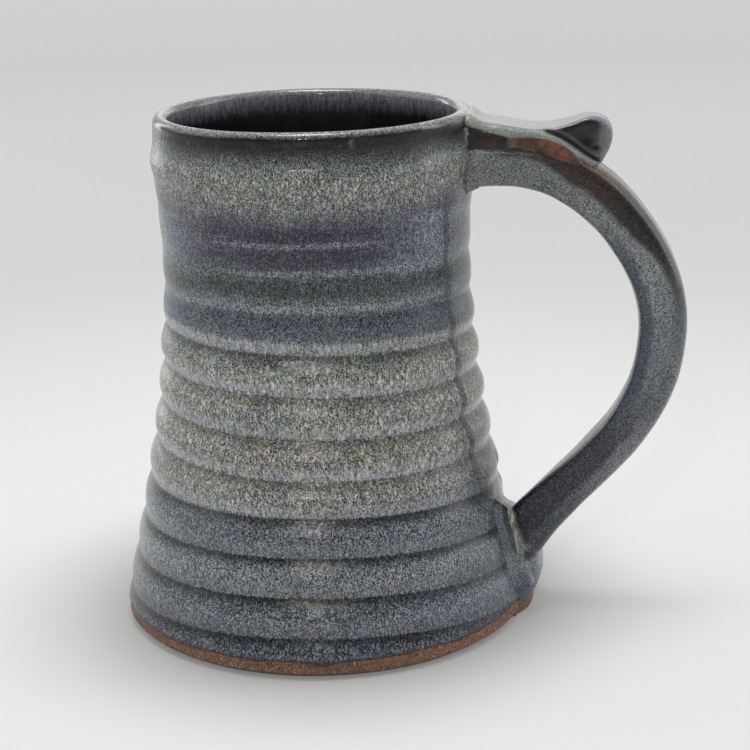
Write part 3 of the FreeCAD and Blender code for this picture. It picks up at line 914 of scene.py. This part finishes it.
def wall_glaze():
    """Floating-blue glaze of the vessel: tones by height, bands by ring with painted shade at the grooves and
    a partly painted reflection in the coves, bubble cells, fine specks and painted glints.
    """
    s = Shader("wall_glaze")
    step = ring_step(s)
    z = s.z
    streak, wide_streak = s.streaks()
    fine = s.noise(0.25, 1.0, 0.6, s.stretched(1, 1, 0.7)).rise(-0.4, 0.4)
    coarse = s.noise(0.62, 2.0, 0.6, s.stretched(1, 1, 0.55)).rise(-0.55, 0.55)
    blotch = s.noise(3.4, 3.0, 0.6)
    drift = s.noise(26, 2.0) * 1.8 + s.noise(7, 2.0) + wide_streak * 0.9 + streak * 0.35
    level = z + drift * z.rise(4, 12) * z.rise(141, 137)
    s.colour = s.ramp(level, WALL_TONES)

    bent = s.moved(1.5, 2.1, s.stretched(1, 1, 0.45))
    outline = s.cells(1.3, bent, "DISTANCE_TO_EDGE").rise(0.02, 0.26)
    centre = s.cells(1.3, bent).rise(0.6, 0.0)

    ringed = z.rise(98, 90)
    jitter = step + drift * 0.010 + streak * 0.022 + wide_streak * 0.018
    cove = jitter.hump(0.58, 0.76, 0.93, 1.0) * ringed
    under = step.hump(-0.02, 0.02, 0.06, 0.30) * ringed
    crest = jitter.hump(0.10, 0.40, 0.50, 0.70) * ringed
    near_groove = ((step - 0.5).size() - 0.5) * -RING_PITCH
    line = near_groove.rise(0.45, 0.05) * ringed * (blotch * 0.9 + 0.35).clamped()
    mottled = z.hump(38, 50, 84, 94)
    bubbly = (mottled + z.hump(122, 127, 132, 137)).clamped()
    low = z.rise(50, 38)

    # Partly painted reflection: the down-facing lower side of each ring is laid paler, for the bright floor
    # mirrored there, over the glaze's own pale streaky band.
    band_tone = s.mix(z.rise(30, 50), tone(92, 96, 104), tone(118, 120, 123))
    s.lay(cove * (z.rise(28, 48) * 0.42 + 0.28), band_tone)
    # Painted shade: on the lower rings, the band just under each groove is laid dark.
    s.lay(under * low * 0.75, (30, 32, 36))
    s.lay(s.noise(34, 3.0).rise(0.15, 0.9) * 0.26, (66, 76, 92))
    s.lay(s.noise(16, 3.0).rise(0.3, 1.0) * 0.28, (80, 90, 78))
    s.lay(s.noise(5, 3.0).rise(0.3, 1.0) * 0.3 * z.rise(30, 45), (122, 114, 100))
    wall_marks(s, drift, blotch, streak, wide_streak)
    s.tint(2.4, 0.45)

    cell = (outline * (centre * 1.1 + 0.35) - 0.62) * (blotch * 0.35 + 0.8)
    calm = 1 - cove * 0.5
    quiet = calm * (1 - bubbly * 0.1) * (1 + low * 0.5)
    light = 1 + (fine - 0.5) * quiet * 2.3 + (coarse - 0.5) * quiet * 0.9
    light = light + cell * bubbly * calm
    light = light + streak * (cove * 0.40 + z.hump(88, 96, 118, 126) * 0.24 + bubbly * 0.16 + 0.15)
    light = light + wide_streak * 0.18 + blotch * 0.12
    # Painted highlight: the specks on the ring crests are brightened, mostly on the lower rings.
    light = light + crest * (low * 0.20 + 0.08) * (fine + coarse)
    # Painted shade: darker just under each groove and along the groove itself.
    light = light * (1 - under * 0.30 - line * 0.45)
    s.shade(light.at_least(0.12).at_most(3.4))
    # Painted glints: pale specks laid over the wall, mostly on the lower rings, stand in for small
    # highlights.
    sparks = fine.rise(0.45, 0.95) * coarse.rise(0.2, 0.8) * calm * (1 - under * 0.7)
    s.lay(sparks * (low * 0.50 + z.hump(90, 98, 118, 124) * 0.16), (138, 141, 146))

    rust = z.hump(140.0, 141.2, 142.6, 143.2) * s.noise(7, 3.0).rise(0.1, 0.9)
    s.lay(rust * 0.30, (84, 56, 42))
    fringe = (z - 4.9 + drift * 0.1).rise(1.2, 0.2)
    s.lay(fringe * 0.75, (50, 38, 44))
    within = s.from_axis().rise(41.8, 40.6) * z.rise(136, 139)
    s.lay(within, inner_tone(s, streak))

    lip = z.rise(142.4, 143.4)
    relief = (fine * 0.4 + coarse + cell * bubbly) * (1 - within) * (1 - lip * 0.7)
    s.bump((relief, 0.032), (streak * 0.5 + wide_streak, 0.02), (line * -1.0, 0.08))
    rough = (fine * 0.05 + coarse * 0.07 + 0.08) * (1 - within) * (1 - lip * 0.5)
    return s.finish(rough + within * (0.15 - lip * 0.09))


def inner_tone(s, streak):
    """Lilac-grey under the lip, falling to near-black navy down the inside: the glaze's own dark colour, with
    painted light on the lip's inner curve and painted shade deeper inside.
    """
    colour = s.ramp(s.z + streak, [
        (0, (26, 27, 31)), (79.75, (20, 21, 24)), (134.85, (20, 21, 24)), (138.04, (30, 30, 34)),
        (140.94, (62, 64, 70)), (142.825, (84, 86, 88)), (145, (88, 90, 90))])
    fine = s.noise(0.46, 1.0, 0.6)
    return s.gain(colour, (1 + streak * 0.45 + fine * 0.7).at_least(0.25))


def liner_glaze():
    """Near-black navy inside, streaked, with a lilac band below the lip: glaze colour with painted light
    under the lip and painted shade deeper down.
    """
    s = Shader("liner_glaze")
    streak, wide_streak = s.streaks()
    s.colour = inner_tone(s, streak)
    s.bump((streak * 0.5 + wide_streak, 0.02))
    return s.finish(0.15)


def strap_glaze():
    """The same glaze on the strap, broken to dark brown and rust along its outer corners."""
    s = Shader("strap_glaze")
    along, across, depth = map(s.value_of, ("along", "across", "depth"))
    s.colour = s.ramp(along, [
        (0, (84, 87, 88)), (0.15, (82, 85, 86)), (0.4, (93, 96, 99)), (0.6, (76, 79, 84)),
        (0.72, (50, 51, 57)), (0.9, (36, 36, 42)), (1, (34, 34, 38))])
    run = s.noise(2.4, 3.0, 0.6, s.stretched(0.5, 1, 0.35))
    fine, coarse = s.grains()
    patch = s.noise(9, 3.0)
    s.lay(s.noise(22, 3.0).rise(0.1, 0.9) * 0.35, (70, 78, 92))
    edge = depth + run * 0.10
    facet = edge.rise(-0.05, 0.25) * along.rise(0.58, 0.70)
    s.lay(facet * 0.85, s.mix(along.rise(0.72, 0.9), tone(90, 92, 95), tone(58, 60, 66)))
    # Painted shade: along the middle of the strap, its side is darkened towards the inner corner, where the
    # face turns away from the light.
    inner_dark = edge.hump(-1.1, -0.85, -0.6, -0.3) * along.hump(0.24, 0.36, 0.6, 0.7)
    s.lay(inner_dark * 0.75, (50, 54, 64))
    inner_face = (across.size() * -1.0).rise(-0.96, -0.9) * depth.rise(-0.85, -0.97)
    s.lay(inner_face * along.hump(0.5, 0.62, 0.8, 0.9) * 0.6, (90, 92, 96))
    # Painted shade where the strap's lower end meets the tail pad.
    s.lay(along.rise(0.92, 0.97) * 0.6, (36, 37, 41))
    s.tint(2.4, 0.4)
    outer = (edge + patch * 0.10 + along.hump(0.10, 0.20, 0.27, 0.42) * 0.48).rise(0.28, 0.62)
    near_side = across.size().rise(0.22, 0.5)
    dark = outer * near_side * along.hump(0.03, 0.10, 0.32, 0.58)
    s.lay((dark * (coarse * 0.5 + 0.75)).clamped() * 0.95, (26, 25, 26))
    brown = outer * near_side * along.hump(0.06, 0.10, 0.22, 0.30)
    s.lay((brown * (coarse * 0.8 + 0.3)).clamped() * 0.8, (54, 44, 40))
    rust = depth.hump(0.78, 0.86, 0.95, 0.99) * near_side * along.hump(0.11, 0.15, 0.22, 0.27)
    s.lay(rust * (s.noise(2.0, 3.0) * 0.9 + 0.6).clamped() * 0.55, (84, 68, 61))
    light = fine * 1.20 + coarse * 0.84 + run * 0.18
    s.shade(light.at_least(0.12).at_most(2.6))
    sparks = (fine * 0.6 + coarse * 0.5).rise(0.72, 1.0) * along.rise(0.55, 0.75)
    s.lay(sparks * 0.6, (84, 87, 94))
    pinholes = s.cells(7.0, s.moved(3, 2.0)).rise(0.075, 0.045)
    s.lay(pinholes * 0.9, (20, 18, 20))
    s.bump((fine, 0.014), (coarse, 0.024), (pinholes * -1.0, 0.25))
    return s.finish(fine * 0.05 + coarse * 0.07 + 0.10, ior=1.42)


def rest_glaze():
    """Light on top where it faces up, chocolate at the root's shoulders, painted shade in the curl's fold and
    its pit.
    """
    s = Shader("rest_glaze")
    side, below, pit = map(s.value_of, ("side", "below", "pit"))
    u, z = s.x, s.z
    fine, coarse = s.grains(0.33, 0.45, 0.66)
    patch = s.noise(4, 3.0)
    s.colour = s.mix(u.rise(60, 74), tone(97, 100, 97), tone(92, 92, 96))
    flank = (s.y.size() + patch * 0.35).rise(7.9, 8.9)
    chocolate = flank * (u + patch * 1.2).rise(57.5, 53.5) * (z + (u - 44) * 0.30).rise(141.6, 140.8)
    s.lay(chocolate * 0.97, (34, 24, 21))
    s.lay(chocolate * s.noise(2.6, 3.0).rise(0.0, 0.8) * 0.55, (74, 46, 38))
    tuck = side * (u + patch).hump(54, 57, 77, 80) * (below + patch * 0.3).rise(1.7, 2.5)
    s.lay(tuck * 0.9, (56, 42, 36))
    rust = tuck * (s.noise(5.0, 2.0) + patch * 0.4).rise(0.0, 0.5)
    s.lay(rust * 0.6, (92, 64, 50))
    curl = side * u.rise(63, 68) * below.rise(0.5, -0.5)
    s.lay(curl * 0.95, (56, 54, 60))
    rim = side * u.hump(60, 65, 78, 80) * below.rise(-1.4, -2.6)
    s.lay(rim * 0.85, (34, 29, 22))
    # Painted shade in the curl's fold and its pit.
    s.lay(pit.rise(0.15, 0.6) * 0.9, (16, 15, 18))
    knob = u.hump(41, 42.5, 45, 46.5) * z.rise(142.8, 143.8)
    s.lay(knob * 0.6, (112, 110, 94))
    light = 0.68 + fine * 0.34 + coarse * 0.30
    s.shade(light.at_least(0.3))
    s.bump((fine, 0.008), (coarse, 0.02), (s.noise(4, 2.0), 0.05))
    return s.finish(coarse * 0.04 + 0.08, ior=1.4)


def joint_glaze():
    """The vessel's glaze on the clay joints, pale and glossy on the lower bead, bare at the foot."""
    s = Shader("joint_glaze")
    lift = s.value_of("lift")
    z = s.z
    fine, coarse = s.grains()
    s.colour = s.ramp(z, [
        (0, (54, 59, 70)), (7.25, (68, 72, 80)), (14.5, (88, 91, 96)), (21.75, (80, 84, 88)),
        (27.55, (48, 52, 56)), (124.7, (80, 84, 84)), (137.75, (80, 84, 82)), (145, (80, 84, 82))])
    low = z.hump(18, 21, 33, 34.5)
    side = s.y.size()
    level = lift + s.noise(3, 2.0) * 0.25
    s.lay(low * level.rise(2.2, 1.6), (72, 77, 85))
    # Painted shade in the gully beside the lower bead.
    gully = level.hump(1.7, 2.2, 2.8, 3.3) * low
    s.lay(gully * (s.noise(2.5, 2.0) * 0.6 + 0.7).clamped() * 0.85, (30, 35, 38))
    bead = level.hump(3.2, 3.7, 4.4, 4.9) * side.rise(9.8, 10.3) * low
    drawn = s.noise(0.55, 1.0, 0.5, s.stretched(1, 1, 0.14)).rise(-0.3, 0.3)
    s.lay(bead * 0.8, s.mix(drawn, tone(78, 82, 76), tone(136, 136, 122)))
    # Painted shade in the crease where the strap's end meets the pad.
    crease = (z + side * 0.32).hump(19.5, 20.9, 22.6, 24) * side.rise(12.6, 12.0)
    crease = crease * (1 - low * side.rise(9.6, 10.2))
    s.lay(crease * 0.85, (28, 30, 33))
    s.lay(z.rise(119, 121) * lift.rise(0.35, 0.1) * 0.6, (34, 36, 36))
    s.tint(2.4, 0.4)
    light = (fine * 1.1 + coarse * 0.86) * (1 - bead * 0.55) + bead * 0.6 + 0.02
    s.shade(light.at_least(0.15))
    clay_edge = (z + coarse * 0.6).rise(4.2, 3.4)
    s.lay(clay_edge, s.mix(fine, tone(58, 44, 36), tone(108, 86, 70)))
    s.bump((fine, 0.015), (coarse, 0.035))
    return s.finish(coarse * 0.06 + 0.12 + clay_edge * 0.6)


def bare_clay():
    """Groggy red-brown stoneware, darker where the glaze ends."""
    s = Shader("bare_clay")
    warm = s.noise(18, 3.0)
    fine = s.noise(0.45, 2.0, 0.7)
    s.colour = s.mix(warm.rise(-0.6, 0.8), tone(86, 70, 61), tone(98, 73, 62))
    light_specks = s.cells(0.72).rise(0.42, 0.12) * (s.noise(2.5, 2.0) * 0.6 + 0.7).clamped()
    dark_specks = s.cells(1.1, s.moved(2, 1.0)).rise(0.34, 0.14)
    s.lay(light_specks * 0.7, (158, 138, 122))
    s.lay(dark_specks * 0.8, (38, 32, 28))
    s.shade((1 + fine * 0.7).at_least(0.35))
    s.bump((fine, 0.06), (light_specks, 0.05))
    return s.finish(0.85, ior=1.45)


# ---- studio ----

FLOOR_REACH = 6.0
MIDDLE = (0, 0, 0.07)


def add_light(name, size, power, place, target=MIDDLE, colour=(1, 1, 1)):
    data = bpy.data.lights.new(name, "AREA")
    data.shape = "RECTANGLE"
    data.size, data.size_y = size
    data.energy = power
    data.color = colour
    light = bpy.data.objects.new(name, data)
    light.visible_camera = False
    bpy.context.scene.collection.objects.link(light)
    light.location = place
    light.rotation_euler = (Vector(target) - light.location).to_track_quat("-Z", "Y").to_euler()


def add_studio():
    floor_data = bpy.data.meshes.new("floor")
    corners = [(FLOOR_REACH * x, FLOOR_REACH * y, 0) for x, y in ((-1, -1), (1, -1), (1, 1), (-1, 1))]
    floor_data.from_pydata(corners, [], [(0, 1, 2, 3)])
    floor = bpy.data.objects.new("floor", floor_data)
    bpy.context.scene.collection.objects.link(floor)
    s = Shader("glowing_floor")
    away = s.from_axis()
    # Painted light: the floor is paler within about 130 mm of the axis than far out. It also glows, faintly
    # by the foot and more from about 110 mm out, which lays a pool of light round the vessel and lifts its
    # shadows.
    s.colour = s.mix(away.rise(130, 480), (0.35, 0.35, 0.345), (0.20, 0.20, 0.197))
    s.surface.inputs["Emission Color"].default_value = (0.995, 1.0, 0.985, 1)
    s.plug(away.rise(25, 110) * 0.44 + (away * 0.00005).at_most(0.2), s.surface.inputs["Emission Strength"])
    s.surface.inputs["Specular IOR Level"].default_value = 0.0
    floor_data.materials.append(s.finish(0.7, ior=1.2))

    world = bpy.data.worlds.new("studio")
    bpy.context.scene.world = world
    world.use_nodes = True
    nodes, links = world.node_tree.nodes, world.node_tree.links
    background = nodes["Background"]
    place = nodes.new("ShaderNodeTexCoord")
    parts = nodes.new("ShaderNodeSeparateXYZ")
    links.new(place.outputs["Generated"], parts.inputs[0])
    blend = nodes.new("ShaderNodeMapRange")
    blend.interpolation_type = "SMOOTHSTEP"
    links.new(parts.outputs["Y"], blend.inputs["Value"])
    for socket, number in zip(blend.inputs[1:5], (-0.9, 0.4, 0.16, 0.56)):
        socket.default_value = number
    links.new(blend.outputs[0], background.inputs["Strength"])
    background.inputs["Color"].default_value = (0.98, 0.99, 1.0, 1)

    add_light("overhead", (0.4, 0.3), 4.7, (-0.04, 0.04, 1.02), (0, 0, 0.05))
    add_light("left_panel", (1.2, 1.1), 3.1, (-1.05, -0.10, 0.75))
    add_light("right_panel", (0.4, 0.8), 2.7, (0.95, 0.25, 0.55))
    add_light("back_panel", (0.9, 0.3), 0.6, (0.05, 1.15, 0.42), (0.03, 0, 0.13))
    add_light("left_strip", (0.2, 0.7), 1.4, (-0.75, 0.75, 0.3))
    add_light("right_strip", (0.2, 0.7), 0.5, (0.8, 0.7, 0.3))
    add_light("glint", (0.02, 0.02), 1.2, (0.0, -0.8, 0.46), colour=(1.0, 0.93, 0.86))
    bpy.context.scene.view_settings.view_transform = "Standard"


clay_body(bare_clay())
outer_coat(wall_glaze())
liner_coat(liner_glaze())
strap(strap_glaze())
thumb_rest(rest_glaze())
handle_joints(joint_glaze())
add_studio()
